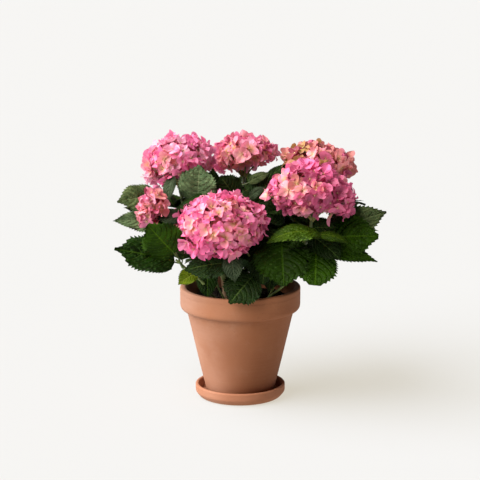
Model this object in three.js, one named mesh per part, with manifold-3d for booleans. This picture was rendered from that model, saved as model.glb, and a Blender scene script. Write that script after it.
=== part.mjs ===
// A pink mophead hydrangea in a terracotta pot on a saucer.
// Millimetres, +Z up, +X to the right and -Y towards the front. The origin is the centre of the
// saucer's flat underside, which stands on the floor.
import * as THREE from 'three';
import { mergeVertices } from 'three/addons/utils/BufferGeometryUtils.js';
import manifold from 'manifold-3d';

const wasm = await manifold();
wasm.setup();

// ---- driving dimensions ----

const gap = 0.3; // between two pieces that touch
const padGap = 0.5; // the same round a bloom or leaf mass, whose thin edges keep less of it
const smallest = 0.25; // detail finer than this is dropped from what a cut leaves
const roundSides = 32; // facets round the pot and the saucer

const saucer = {
  height: 23.5,
  radius: 82,
  footRadius: 74,
  innerRadius: 76.5, // inside its rim
  wellRadius: 73, // inside, at its floor
  floor: 7,
  edge: 3, // rounding of rim and foot
  innerEdge: 2,
  bulge: 0.4, // share of its height at which its wall stands upright
};
const pot = {
  seat: saucer.floor + gap,
  top: 206,
  footRound: 2,
  footRadius: 61,
  neckRadius: 95.8, // under the collar
  rimRadius: 110,
  collar: 43, // height of the thick band round the rim
  shoulder: 10, // rounding of its lower edge
  lipRadius: 99.5, // inside the rim
  wellRadius: 54.5, // inside, at its floor
  floor: 10,
  wellRound: 4, // rounding inside, at its floor
  drainRadius: 9,
  edge: 3.5, // rounding of the rim
};
const soil = { top: 182, foot: 4.5, clear: 0.4 }; // foot: its lower edge's rounding

// Canes leave the soil in a clump, rise, lean out, and turn up for the last stretch to the bloom.
const clump = { radius: 26, buried: 4 };
const rise = { height: 60, lean: 0.12 }; // lean: how far towards the bloom it has come by then
const turnUp = { height: 40, lean: 0.9 };
const cane = { foot: 5.2, neck: 3.2, flare: 1.5, flareEnd: 0.08, sides: 7, steps: 7 };
const shoot = { foot: 2.8, neck: 2.0, sag: 12, sides: 5, steps: 3 };
const unevenness = { bloom: 0.035, leaves: 0.06 };
const padTip = { narrow: 0.3, droop: 0.25, stretch: 0.04 };

// The blooms by centre and half-sizes. toes is the compass angle of the cane's foot in the clump.
const blooms = {
  front: { at: [-32, -85, 335], half: [89, 77, 62], toes: 262 },
  upper_left: { at: [-110, 40, 430], half: [66, 60, 50], toes: 165 },
  upper_back: { at: [7, 120, 430], half: [63, 58, 37], toes: 92 },
  upper_right: { at: [146, 100, 416], half: [74, 62, 41], toes: 20 },
  right: { at: [129, -50, 394], half: [87, 74, 58], toes: 320 },
  small_left: { at: [-161, -30, 364], half: [31, 30, 40], toes: 212 },
  rear_left: { at: [-62, 170, 300], half: [62, 56, 43], toes: 125 },
  rear_right: { at: [146, 172, 340], half: [58, 52, 40], toes: 56 },
};

// A leaf mass is a spray of leaves, drawn as a pad that narrows to its tip. tip is the compass
// angle, reach and height of its furthest point; heading and pitch aim its long axis, and roll
// turns its face about that axis. size is its length, width and thickness.
const leaves = {
  left_high: { tip: [183, 226, 366], heading: 191, pitch: -7, roll: 50, size: [114, 56, 28] },
  left_mid: { tip: [197, 239, 338], heading: 195, pitch: -3, roll: 45, size: [120, 56, 26] },
  left_low: { tip: [214.5, 266, 306], heading: 205, pitch: 12, roll: 62, size: [132, 80, 26] },
  left_front: { tip: [219, 208, 300], heading: 214, pitch: -24, roll: 30, size: [100, 62, 30] },
  left_back: { tip: [164, 226, 318], heading: 172, pitch: -4, roll: 0, size: [110, 70, 30] },
  rim_left: { tip: [230, 168, 234], heading: 211, pitch: -20, roll: 0, size: [98, 48, 20] },
  pot_left: { tip: [235.5, 99, 211], heading: 250, pitch: -35, roll: 0, size: [44, 40, 14] },
  rim_front: { tip: [279, 126, 202], heading: 300, pitch: -62, roll: 0, size: [84, 76, 18] },
  front_right: { tip: [299, 134, 236], heading: 262, pitch: -61, roll: 0, size: [78, 88, 24] },
  right_front: { tip: [343, 201, 303], heading: 12, pitch: -10, roll: 40, size: [150, 62, 28] },
  right_rim: { tip: [317, 163, 232], heading: 242, pitch: -38, roll: 0, size: [84, 64, 22] },
  right_mid: { tip: [349, 255, 306], heading: 348, pitch: 6, roll: 50, size: [112, 76, 26] },
  right_low: { tip: [344, 256, 264], heading: 347, pitch: 2, roll: 30, size: [108, 46, 20] },
  right_high: { tip: [2, 267, 341], heading: 352, pitch: 4, roll: 30, size: [108, 52, 24] },
  right_back: { tip: [16, 262, 298], heading: 18, pitch: -4, roll: 0, size: [120, 76, 28] },
  upper_left: { tip: [165, 77, 428], heading: 68, pitch: 67, roll: 0, size: [72, 76, 18] },
  upper_mid: { tip: [64, 94, 400], heading: 40, pitch: 22, roll: 0, size: [104, 70, 32] },
  core_left: { tip: [180, 110, 292], heading: 180, pitch: 0, roll: 0, size: [110, 100, 56] },
  core_right: { tip: [354, 130, 298], heading: 0, pitch: 0, roll: 0, size: [122, 108, 60] },
  centre_right: { tip: [352, 128, 352], heading: 352, pitch: 6, roll: 0, size: [104, 74, 58] },
  rear_left_high: { tip: [150, 228, 348], heading: 150, pitch: 4, roll: 0, size: [112, 76, 28] },
  rear_left_low: { tip: [140, 248, 262], heading: 145, pitch: -10, roll: 0, size: [124, 76, 28] },
  rear_low: { tip: [86, 228, 256], heading: 88, pitch: -8, roll: 0, size: [124, 88, 28] },
  rear_mid: { tip: [78, 214, 362], heading: 84, pitch: 8, roll: 0, size: [112, 74, 30] },
  rear_right_high: { tip: [26, 258, 340], heading: 22, pitch: 2, roll: 0, size: [112, 70, 26] },
  rear_right_low: { tip: [42, 246, 262], heading: 36, pitch: -10, roll: 0, size: [124, 76, 28] },
};

// A leaf mass that no cane runs through has a shoot, which leaves a cane at share of its length.
const shoots = {
  left_low: { cane: 'small_left', share: 0.35 },
  left_back: { cane: 'upper_left', share: 0.4 },
  pot_left: { cane: 'front', share: 0.1 },
  rim_front: { cane: 'front', share: 0.55 },
  front_right: { cane: 'right', share: 0.3 },
  right_rim: { cane: 'right', share: 0.2 },
  right_mid: { cane: 'right', share: 0.5 },
  right_low: { cane: 'right', share: 0.3 },
  right_high: { cane: 'upper_right', share: 0.65 },
  right_back: { cane: 'upper_right', share: 0.4 },
  upper_mid: { cane: 'upper_back', share: 0.6 },
  rear_left_low: { cane: 'rear_left', share: 0.35 },
  rear_low: { cane: 'upper_back', share: 0.22 },
  rear_mid: { cane: 'upper_back', share: 0.5 },
  rear_right_low: { cane: 'rear_right', share: 0.35 },
};

// ---- materials ----

function finish(color, roughness) {
  return new THREE.MeshStandardMaterial({ color, roughness, metalness: 0 });
}

const terracotta = finish('#b06a48', 0.85);
const earth = finish('#2c211a', 0.95);
const bark = finish('#7a5a3c', 0.8);
const greenStem = finish('#6d8a45', 0.6);
const foliage = finish('#2f5b2c', 0.45);
const petals = finish('#e27ba8', 0.6);

// ---- solids ----

function solidOf(geometry) {
  geometry.deleteAttribute('normal');
  geometry.deleteAttribute('uv');
  const merged = mergeVertices(geometry, 1e-3);
  return new wasm.Manifold(
    new wasm.Mesh({
      numProp: 3,
      vertProperties: merged.attributes.position.array,
      triVerts: new Uint32Array(merged.index.array),
    }),
  );
}

function geometryOf(solid) {
  const mesh = solid.getMesh();
  const geometry = new THREE.BufferGeometry();
  geometry.setAttribute('position', new THREE.BufferAttribute(mesh.vertProperties, 3));
  geometry.setIndex(new THREE.BufferAttribute(mesh.triVerts, 1));
  geometry.computeVertexNormals();
  return geometry;
}

// The largest piece that is left of a solid once the others are cut from it.
function leftOver(solid, others) {
  let rest = solid;
  for (const other of others) rest = rest.subtract(other);
  const pieces = rest.simplify(smallest).decompose();
  return pieces.sort((a, b) => b.volume() - a.volume())[0];
}

// ---- turned clay ----

// A closed profile of [radius, height] corners, each rounded by its own amount, turned about Z.
function turned(corners) {
  const outline = new THREE.Path();
  const point = (i) => new THREE.Vector2(...corners[(i + corners.length) % corners.length]);
  for (let i = 0; i <= corners.length; i += 1) {
    const here = point(i);
    const round = corners[i % corners.length][2] ?? 0;
    const before = point(i - 1).sub(here).setLength(round).add(here);
    const after = point(i + 1).sub(here).setLength(round).add(here);
    if (i === 0) outline.moveTo(after.x, after.y);
    else if (round) {
      outline.lineTo(before.x, before.y);
      outline.quadraticCurveTo(here.x, here.y, after.x, after.y);
    } else outline.lineTo(here.x, here.y);
  }
  return new THREE.LatheGeometry(outline.getPoints(2), roundSides).rotateX(Math.PI / 2);
}

function potGeometry() {
  const collarFoot = pot.top - pot.collar;
  const well = pot.seat + pot.floor;
  return turned([
    [pot.drainRadius, pot.seat],
    [pot.footRadius, pot.seat, pot.footRound],
    [pot.neckRadius, collarFoot],
    [pot.rimRadius, collarFoot + 1, pot.shoulder],
    [pot.rimRadius, pot.top, pot.edge],
    [pot.lipRadius, pot.top, pot.edge],
    [pot.wellRadius, well, pot.wellRound],
    [pot.drainRadius, well],
  ]);
}

function saucerGeometry() {
  return turned([
    [0, 0],
    [saucer.footRadius, 0, saucer.edge],
    [saucer.radius, saucer.height * saucer.bulge, saucer.edge],
    [saucer.radius, saucer.height, saucer.edge],
    [saucer.innerRadius, saucer.height, saucer.innerEdge],
    [saucer.wellRadius, saucer.floor, saucer.innerEdge],
    [0, saucer.floor],
  ]);
}

// The radius of the pot's inner wall at a height.
function wellRadiusAt(height) {
  const well = pot.seat + pot.floor;
  return THREE.MathUtils.mapLinear(height, well, pot.top, pot.wellRadius, pot.lipRadius);
}

function soilGeometry() {
  const bottom = pot.seat + pot.floor + gap;
  return turned([
    [0, bottom],
    [wellRadiusAt(bottom) - soil.clear, bottom, soil.foot],
    [wellRadiusAt(soil.top) - soil.clear, soil.top],
    [0, soil.top],
  ]);
}

// ---- limbs ----

// A closed tapering round limb, bent along a curve and grown all round by an amount.
function limb(curve, form, grown) {
  const { foot, neck, sides, steps, flare = 0, flareEnd = 1 } = form;
  const geometry = new THREE.CylinderGeometry(1, 1, 1, sides, steps);
  const frames = curve.computeFrenetFrames(steps);
  const position = geometry.attributes.position;
  const spot = new THREE.Vector3();
  for (let i = 0; i < position.count; i += 1) {
    const along = THREE.MathUtils.clamp(position.getY(i) + 0.5, 0, 1);
    const step = Math.round(along * steps);
    const thickened = flare * Math.exp(-along / flareEnd);
    const radius = THREE.MathUtils.lerp(foot, neck, along) + thickened + grown;
    curve.getPointAt(along, spot);
    spot.addScaledVector(frames.binormals[step], position.getX(i) * radius);
    spot.addScaledVector(frames.normals[step], position.getZ(i) * radius);
    position.setXYZ(i, spot.x, spot.y, spot.z);
  }
  return solidOf(geometry);
}

function compass(degrees, reach, height) {
  const angle = THREE.MathUtils.degToRad(degrees);
  return new THREE.Vector3(Math.cos(angle) * reach, Math.sin(angle) * reach, height);
}

function caneCurve(bloom) {
  const head = new THREE.Vector3(...bloom.at);
  const foot = compass(bloom.toes, clump.radius, soil.top - clump.buried);
  const risen = foot.clone().lerp(head, rise.lean).setZ(foot.z + rise.height);
  const bloomFoot = head.z - bloom.half[2];
  const turned = foot.clone().lerp(head, turnUp.lean).setZ(bloomFoot - turnUp.height);
  return new THREE.CatmullRomCurve3([foot, risen, turned, head]);
}

// ---- blooms and leaf masses ----

// Waves run over a ball and make it uneven, differently for each seed.
function roughen(geometry, seed, swell) {
  const position = geometry.attributes.position;
  const point = new THREE.Vector3();
  for (let i = 0; i < position.count; i += 1) {
    point.fromBufferAttribute(position, i);
    const broad = Math.sin(3.1 * point.x + 1.7 * seed) * Math.cos(2.9 * point.y - 0.9 * seed);
    const fine = Math.sin(5.7 * point.z + 2.3 * seed + 4.3 * point.y);
    point.multiplyScalar(1 - swell + swell * (0.6 * broad + 0.4 * fine));
    position.setXYZ(i, point.x, point.y, point.z);
  }
  return geometry;
}

function bloomSolid(bloom, seed, grown) {
  const [x, y, z] = bloom.half.map((size) => size + grown);
  const ball = roughen(new THREE.IcosahedronGeometry(1, 2), seed, unevenness.bloom);
  return solidOf(ball.scale(x, y, z).translate(...bloom.at));
}

// The frame of a leaf mass: X along its long axis to the tip, Z out of its face.
function padPlace(mass) {
  const aim = new THREE.Euler(
    THREE.MathUtils.degToRad(mass.roll),
    THREE.MathUtils.degToRad(-mass.pitch),
    THREE.MathUtils.degToRad(mass.heading),
    'ZYX',
  );
  const place = new THREE.Matrix4().makeRotationFromEuler(aim);
  const centre = new THREE.Vector3(-mass.size[0] / 2, 0, 0).applyMatrix4(place);
  return place.setPosition(centre.add(compass(...mass.tip)));
}

function padSolid(mass, seed, grown) {
  const ball = new THREE.SphereGeometry(1, 12, 6).rotateZ(-Math.PI / 2);
  const geometry = roughen(ball, seed, unevenness.leaves);
  const position = geometry.attributes.position;
  const [length, width, thickness] = mass.size.map((size) => size / 2 + grown);
  for (let i = 0; i < position.count; i += 1) {
    const along = position.getX(i);
    const outward = Math.max(0, along);
    const narrow = 1 - padTip.narrow * outward;
    const droop = padTip.droop * width * outward ** 2;
    position.setX(i, along * length * (1 + padTip.stretch * (1 + outward)));
    position.setY(i, position.getY(i) * width * narrow);
    position.setZ(i, position.getZ(i) * thickness * narrow - droop);
  }
  return solidOf(geometry.applyMatrix4(padPlace(mass)));
}

// ---- assembly ----

const plant = new THREE.Group();

function add(name, geometry, material) {
  const mesh = new THREE.Mesh(geometry, material);
  mesh.name = name;
  plant.add(mesh);
}

add('pot', potGeometry(), terracotta);
add('saucer', saucerGeometry(), terracotta);
add('potting_soil', soilGeometry(), earth);

const grownBlooms = [];
Object.entries(blooms).forEach(([name, bloom], seed) => {
  add(`bloom_${name}`, geometryOf(bloomSolid(bloom, seed, 0)), petals);
  grownBlooms.push(bloomSolid(bloom, seed, padGap));
});

const caneCurves = {};
const grownCanes = [];
const aboveSoil = soil.top + gap;
for (const [name, bloom] of Object.entries(blooms)) {
  const curve = caneCurve(bloom);
  const whole = limb(curve, cane, 0).trimByPlane([0, 0, 1], aboveSoil);
  add(`cane_${name}`, geometryOf(leftOver(whole, grownBlooms)), bark);
  caneCurves[name] = curve;
  grownCanes.push(limb(curve, cane, gap));
}

const grownMasses = [];
Object.entries(leaves).forEach(([name, mass], seed) => {
  const taken = [...grownBlooms, ...grownCanes, ...grownMasses];
  add(`leaves_${name}`, geometryOf(leftOver(padSolid(mass, seed, 0), taken)), foliage);
  grownMasses.push(padSolid(mass, seed, padGap));
});

for (const [name, start] of Object.entries(shoots)) {
  const from = caneCurves[start.cane].getPointAt(start.share);
  const to = new THREE.Vector3().setFromMatrixPosition(padPlace(leaves[name]));
  const middle = from.clone().lerp(to, 0.5).add(new THREE.Vector3(0, 0, -shoot.sag));
  const whole = limb(new THREE.QuadraticBezierCurve3(from, middle, to), shoot, 0);
  const taken = [...grownBlooms, ...grownCanes, ...grownMasses];
  add(`shoot_${name}`, geometryOf(leftOver(whole, taken)), greenStem);
}

export default plant;
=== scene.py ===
# A pink mophead hydrangea in a terracotta pot: the looks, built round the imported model.
import math

import bpy
import numpy as np
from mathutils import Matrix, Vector
from numpy.linalg import norm


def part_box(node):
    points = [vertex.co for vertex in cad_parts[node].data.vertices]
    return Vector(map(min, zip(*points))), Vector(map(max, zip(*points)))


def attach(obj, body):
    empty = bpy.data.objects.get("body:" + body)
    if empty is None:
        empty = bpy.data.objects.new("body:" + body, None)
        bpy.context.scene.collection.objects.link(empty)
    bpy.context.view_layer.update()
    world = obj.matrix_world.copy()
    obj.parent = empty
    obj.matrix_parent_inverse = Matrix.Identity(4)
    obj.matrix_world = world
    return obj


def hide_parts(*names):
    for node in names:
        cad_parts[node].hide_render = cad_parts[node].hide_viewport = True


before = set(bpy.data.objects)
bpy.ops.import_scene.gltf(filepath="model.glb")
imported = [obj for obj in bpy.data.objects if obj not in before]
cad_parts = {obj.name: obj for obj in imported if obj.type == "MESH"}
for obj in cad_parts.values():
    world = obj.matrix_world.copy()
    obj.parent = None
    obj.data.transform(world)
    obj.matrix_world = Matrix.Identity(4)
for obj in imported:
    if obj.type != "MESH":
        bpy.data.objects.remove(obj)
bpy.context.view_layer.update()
rng = np.random.default_rng(11)


def bothWays(operation):  # an operator and its reflected form
    def forward(wire, other):
        return wire.maths(operation, wire, other)

    def reflected(wire, other):
        return wire.maths(operation, other, wire)
    return forward, reflected


class Wire:  # one output socket, written in formulas like a number
    __add__, __radd__ = bothWays("ADD")
    __sub__, __rsub__ = bothWays("SUBTRACT")
    __mul__, __rmul__ = bothWays("MULTIPLY")

    def __init__(self, graph, socket):
        self.graph = graph
        self.socket = socket

    def maths(self, operation, first, second=None):
        return self.graph.add("Math", {0: first, 1: second}, operation=operation)

    def __pow__(self, other):
        return self.maths("POWER", self, other)

    def __abs__(self):
        return self.maths("ABSOLUTE", self)

    def part(self):  # what stands above the whole number below it
        return self.maths("FRACT", self)

    def most(self, other):  # the larger of the two
        return self.maths("MAXIMUM", self, other)

    def over(self, low, high):  # 0 up to low, 1 from high, smooth between
        sockets = {"Value": self, "From Min": low, "From Max": high}
        return self.graph.add("MapRange", sockets, interpolation_type="SMOOTHSTEP")


class Graph:  # the nodes of one material
    def __init__(self, name):
        self.material = bpy.data.materials.new(name)
        self.material.use_nodes = True
        self.nodes = self.material.node_tree.nodes
        self.links = self.material.node_tree.links
        self.nodes.clear()

    def add(self, kind, sockets=None, out=0, **settings):
        node = self.nodes.new("ShaderNode" + kind)
        for name, value in settings.items():
            setattr(node, name, value)
        for name, value in (sockets or {}).items():
            if isinstance(value, Wire):
                self.links.new(value.socket, node.inputs[name])
            elif value is not None:
                node.inputs[name].default_value = value
        return Wire(self, node.outputs[out]) if node.outputs else None

    def colour(self, value):
        return value if isinstance(value, Wire) else (*value, 1.0)

    def mix(self, amount, first, second):
        sockets = {0: amount, 6: self.colour(first), 7: self.colour(second)}
        return self.add("Mix", sockets, 2, data_type="RGBA")

    def noise(self, place, scale, detail=3.0, roughness=0.5):
        sockets = {"Vector": place, "Scale": scale, "Detail": detail, "Roughness": roughness}
        return self.add("TexNoise", sockets)

    def cells(self, place, scale):  # distance from the nearest border of a net of cells
        return self.add("TexVoronoi", {"Vector": place, "Scale": scale}, feature="DISTANCE_TO_EDGE")

    def place(self):  # where a point is on the object, in metres
        return self.add("TexCoord", out=3)

    def stretched(self, place, scale):
        return self.add("VectorMath", {0: place, 1: scale}, operation="MULTIPLY")

    def axis(self, place, which):
        return self.add("SeparateXYZ", {0: place}, which)

    def sheet(self):  # where a point is on the strip of leaves or sepals, a tile to each tint
        return self.add("UVMap", uv_map="OFBake")

    def across(self, sheet, tiles):  # 0 on a tile's midrib, 1 at its margins
        return abs((self.axis(sheet, 0) * tiles).part() - 0.5) * 2.08

    def finish(self, colour, roughness, bump=None, bumpDepth=0.001, through=0.0, glow=None, **fixed):
        normal = None
        if bump is not None:
            normal = self.add("Bump", {"Height": bump, "Distance": bumpDepth, "Strength": 1.0})
        sockets = {"Base Color": self.colour(colour), "Roughness": roughness, "Normal": normal}
        sockets.update({name.replace("_", " "): value for name, value in fixed.items()})
        shader = self.add("BsdfPrincipled", sockets)
        if through:  # the share of light that comes through a leaf or petal, and its colour
            lit = self.add("BsdfTranslucent", {"Color": self.colour(glow), "Normal": normal})
            shader = self.add("MixShader", {0: through, 1: shader, 2: lit})
        self.add("OutputMaterial", {"Surface": shader})
        return self.material


def shaded(colour, times, plus=0.0):
    return tuple(min(1.0, c * times + plus) for c in colour)


def put(name, data):  # a new object in the scene
    thing = bpy.data.objects.new(name, data)
    bpy.context.scene.collection.objects.link(thing)
    return thing


def settle(piece, nodes=()):
    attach(piece, "root")
    if nodes:
        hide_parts(*nodes)


def gridQuads(rows, columns, wrap=False, count=1):  # the faces of equal sheets of rows x columns points
    strips = columns if wrap else columns - 1
    sheet, row, column = np.indices((count, rows - 1, strips))
    row += sheet * rows
    beside = (column + 1) % columns
    corners = [row * columns + column, row * columns + beside,
               (row + 1) * columns + beside, (row + 1) * columns + column]
    return np.stack(corners, -1).reshape(-1, 4)


class Heap:  # sheets of points gathered into one mesh
    def __init__(self):
        self.points, self.quads, self.which, self.uv = [], [], [], []
        self.count = 0

    def add(self, points, quads, which=0, uv=None):
        self.points.append(points.reshape(-1, 3))
        self.quads.append(quads + self.count)
        self.which.append(np.broadcast_to(which, len(quads)))
        if uv is not None:
            self.uv.append(uv.reshape(-1, 2))
        self.count += points.size // 3

    def build(self, name, materials):
        quads = np.concatenate(self.quads)
        mesh = bpy.data.meshes.new(name)
        mesh.from_pydata(np.concatenate(self.points).tolist(), [], quads.tolist(), shade_flat=False)
        for material in materials:
            mesh.materials.append(material)
        mesh.polygons.foreach_set("material_index", np.concatenate(self.which).astype(np.int32))
        if self.uv:
            corners = np.concatenate(self.uv)[quads.ravel()]
            mesh.uv_layers.new(name="OFBake").data.foreach_set("uv", corners.astype(np.float32).ravel())
        print(name, len(quads) * 2, "triangles")
        return put(name, mesh)


def unit(vectors):
    return vectors / norm(vectors, axis=-1, keepdims=True)


def circle(count):  # even angles all the way round
    return np.linspace(0, 2 * np.pi, count, endpoint=False)


def polar(radius, angle, height):
    return np.stack(np.broadcast_arrays(radius * np.cos(angle), radius * np.sin(angle), height), -1)


def tubes(paths, radii, sides):  # round stalks along paths of (count, steps, 3) points
    forward = unit(np.gradient(paths, axis=1))
    aside = np.where(np.abs(forward[..., :1]) < 0.8, [1.0, 0, 0], [0, 1.0, 0])
    first = unit(np.cross(forward, aside))
    second = np.cross(forward, first)
    turn = circle(sides)[:, None]
    ring = first[:, :, None] * np.cos(turn) + second[:, :, None] * np.sin(turn)
    points = paths[:, :, None] + ring * radii[..., None, None]
    return points, gridQuads(paths.shape[1], sides, True, len(paths))


def nodePoints(node):
    return np.array([vertex.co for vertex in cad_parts[node].data.vertices])


def nodesNamed(start):
    return sorted(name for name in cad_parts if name.startswith(start))


potForm = {  # metres; the heights come from the frame
    "sides": 180, "rim": 0.11, "neck": 0.0984, "foot": 0.061, "lip": 0.0995, "well": 0.0545,
    "collar": 0.043, "shoulder": 0.01, "groove": 0.0095, "edge": 0.0035, "drain": 0.009, "floor": 0.01,
    "wobble": 0.0004,
    # the fourth clay colour is painted highlight on the lit left side; the last number is painted shade
    # towards the foot
    "clay": {"body": (0.268, 0.095, 0.039), "warm": (0.32, 0.123, 0.054), "chalk": (0.38, 0.19, 0.115),
             "bloom": (0.445, 0.265, 0.198), "damp": 0.62},
}
saucerForm = {
    "foot": 0.074, "rim": 0.082, "inside": 0.0765, "well": 0.073, "floor": 0.007, "edge": 0.003,
    "middle": 0.0004, "wobble": 0.0003,
    # the fourth clay colour is painted highlight on the lit left side
    "clay": {"body": (0.32, 0.118, 0.055), "warm": (0.37, 0.15, 0.078), "chalk": (0.4, 0.21, 0.13),
             "bloom": (0.42, 0.22, 0.15)},
}


def rounded(corners, arcSteps=6, longest=0.006):  # corners (radius, height, rounding) to a smooth profile
    outline = []
    for i, (radius, height, *rounding) in enumerate(corners):
        here = np.array([radius, height])
        if not rounding:
            outline.append(here)
            continue
        before = unit(corners[i - 1][:2] - here) * rounding[0]
        after = unit(corners[i + 1][:2] - here) * rounding[0]
        for t in np.linspace(0, 1, arcSteps + 1):
            outline.append(here + before * (1 - t) ** 2 + after * t * t)
    filled = [outline[0]]
    for start, end in zip(outline, outline[1:]):
        steps = max(1, int(norm(end - start) / longest))
        filled += [start + (end - start) * k / steps for k in range(1, steps + 1)]
    return np.array(filled)


def thrown(name, profile, sides, wobble, material):  # turned on a wheel, a little out of true
    angle = circle(sides)
    radius = profile[:, :1] + wobble * np.sin(2 * angle + 30 * profile[:, 1:]) * (profile[:, :1] > 0.02)
    heap = Heap()
    heap.add(polar(radius, angle, profile[:, 1:]), gridQuads(len(profile), sides, True))
    return heap.build(name, [material])


def clay(name, body, warm, chalk, bloom, damp=0.0):  # the last colour is painted highlight, paler on the lit left side; the number after it is painted shade towards the foot
    g = Graph(name)
    place = g.place()
    blotch = g.noise(place, 11, 4)
    grain = g.noise(place, 700, 2)
    pits = g.noise(place, 260, 2, 0.7).over(0.66, 0.74)
    rings = g.noise(g.stretched(place, (2, 2, 420)), 1.0, 2)
    colour = g.mix(blotch.over(0.3, 0.7), body, warm)
    colour = g.mix(g.noise(place, 26, 5, 0.65).over(0.52, 0.85) * 0.5, colour, chalk)
    # painted highlight: paler in patches on the left side, where the key light falls
    litSideMask = (0.03 - g.axis(place, 0)).over(0.0, 0.12) * g.noise(place, 7, 4).over(0.15, 0.6)
    colour = g.mix(litSideMask * 0.6, colour, bloom)
    if damp:  # darker towards the foot and away from the lit left side: painted shade
        wet = (0.15 - g.axis(place, 2)).over(0.0, 0.13) * (g.axis(place, 0) + 0.045).over(0.0, 0.075)
        colour = g.mix(wet * damp, colour, (0.15, 0.043, 0.015))
    colour = g.mix(pits * 0.35, colour, (0.2, 0.075, 0.035))
    colour = g.mix(rings.over(0.35, 0.65) * 0.12, colour, (0.3, 0.12, 0.06))
    relief = grain * 0.35 + rings * 0.4 - pits * 0.6
    return g.finish(colour, 0.75, bump=relief, bumpDepth=0.0006, Specular_IOR_Level=0.18)


def fired(name, skin, node, form, corners):
    terracotta = clay(skin, **form["clay"])
    piece = thrown(name, rounded(corners), potForm["sides"], form["wobble"], terracotta)
    settle(piece, [node])


def makePot():
    low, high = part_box("pot")
    form = potForm
    collarFoot = high.z - form["collar"]
    groove = high.z - form["groove"]
    floor = low.z + form["floor"]
    fired("terracottaPot", "terracotta", "pot", form, [
        (form["drain"], low.z), (form["foot"], low.z, 0.003), (form["neck"], collarFoot, 0.0008),
        (form["rim"], collarFoot + 0.001, form["shoulder"]), (form["rim"], groove - 0.001, 0.001),
        (form["rim"] - 0.0006, groove, 0.001), (form["rim"] - 0.0001, groove + 0.0013, 0.001),
        (form["rim"], high.z, form["edge"]), (form["lip"], high.z, form["edge"]),
        (form["well"], floor, 0.004), (form["drain"], floor), (form["drain"], low.z)])
    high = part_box("saucer")[1]
    form = saucerForm
    fired("terracottaSaucer", "terracottaSaucer", "saucer", form, [
        (form["middle"], 0), (form["foot"], 0, form["edge"]), (form["rim"], high.z * 0.4, form["edge"]),
        (form["rim"], high.z, form["edge"]), (form["inside"], high.z, 0.002),
        (form["well"], form["floor"], 0.002), (form["middle"], form["floor"])])
    print("pot and saucer made")


soilForm = {
    "rings": 46, "sides": 120, "lump": 0.0022, "sunk": 0.002,
    "crumbs": 520, "crumb": 0.0021, "crumbSizes": (0.4, 1.3), "crumbSunk": 0.0012, "crumbReach": 0.97,
    "wet": (0.01, 0.007, 0.005), "dry": (0.045, 0.03, 0.02),
}
waves = [(0.4, 190), (1.5, 240), (2.3, 330), (3.6, 520), (4.9, 710)]  # which way each runs, how tightly


def lumpiness(x, y):  # an even roughness from a few crossing waves, the wide ones the highest
    total = 0
    for turn, pitch in waves:
        total = total + np.sin(pitch * (x * math.cos(turn) + y * math.sin(turn)) + 3 * turn) * 190 / pitch
    return total / 2.6


def balls(centres, sizes, rows=5, sides=6, uneven=0.25):  # small lumps
    tilt = np.linspace(0.05, np.pi - 0.05, rows)[:, None]
    shape = polar(np.sin(tilt), circle(sides), np.cos(tilt))
    swell = 1 + uneven * rng.standard_normal((len(centres), rows, sides, 1))
    points = centres[:, None, None] + shape * swell * sizes[:, None, None, None]
    return points, gridQuads(rows, sides, True, len(centres))


def makeSoil():
    low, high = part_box("potting_soil")
    form = soilForm
    radius = high.x - 0.0004
    angle = circle(form["sides"])
    foot = polar(-low.x * 0.6, angle, low.z)
    top = polar(np.linspace(1, 0.001, form["rings"])[:, None] * radius, angle, high.z - form["sunk"])
    top[..., 2] += form["lump"] * lumpiness(top[..., 0], top[..., 1]) * 0.6
    heap = Heap()
    heap.add(np.concatenate([foot[None], top]), gridQuads(form["rings"] + 1, form["sides"], True))
    reach = radius * np.sqrt(rng.random(form["crumbs"])) * form["crumbReach"]
    turn = rng.random(form["crumbs"]) * 2 * np.pi
    spots = polar(reach, turn, high.z - form["crumbSunk"])
    heap.add(*balls(spots, form["crumb"] * rng.uniform(*form["crumbSizes"], len(reach))))
    g = Graph("pottingSoil")
    place = g.place()
    colour = g.mix(g.noise(place, 160, 4).over(0.35, 0.7), form["wet"], form["dry"])
    soil = g.finish(colour, 0.95, bump=g.noise(place, 500, 3), bumpDepth=0.0015, Specular_IOR_Level=0.2)
    settle(heap.build("pottingSoil", [soil]), ["potting_soil"])


caneForm = {
    "sides": 18, "steps": 90, "foot": 0.0054, "neck": 0.003, "flare": 0.0016,
    "nodeGap": 0.046, "swelling": 0.0011, "greenFrom": 0.45,
    "riseHeight": 0.06, "riseLean": 0.12,  # the first bend, above the soil
    "turnHeight": 0.04, "turnLowest": 0.056, "turnLean": 0.9,  # the second, below the bloom
    "bends": {"rear_left": (0.6, 0.024), "rear_right": (0.6, 0.026), "small_left": (0.72, 0.036)},
    "wood": [(0.115, 0.062, 0.03), (0.3, 0.19, 0.1)], "spots": (0.055, 0.022, 0.012),
}


def travelled(line):  # how far along a line each of its points is
    return np.concatenate([[0], np.cumsum(norm(np.diff(line, axis=0), axis=1))])


def spline(points, count):  # a smooth line through points, evenly sampled
    points = np.asarray(points, float)
    knots = np.concatenate([[2 * points[0] - points[1]], points, [2 * points[-1] - points[-2]]])
    gaps = np.sqrt(norm(np.diff(knots, axis=0), axis=1))  # far knots pull less
    at = np.concatenate([[0], np.cumsum(gaps)])

    def between(first, second, low, high):
        return (first * (at[high] - t) + second * (t - at[low])) / (at[high] - at[low])

    line = []
    for i in range(1, len(knots) - 2):
        t = np.linspace(at[i], at[i + 1], 40, endpoint=i == len(knots) - 3)[:, None]
        a, b, c = (between(knots[j], knots[j + 1], j, j + 1) for j in (i - 1, i, i + 1))
        line.append(between(between(a, b, i - 1, i + 1), between(b, c, i, i + 2), i, i + 1))
    line = np.concatenate(line)
    length = travelled(line)
    even = np.linspace(0, length[-1], count)
    return np.stack([np.interp(even, length, line[:, k]) for k in range(3)], -1)


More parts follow.
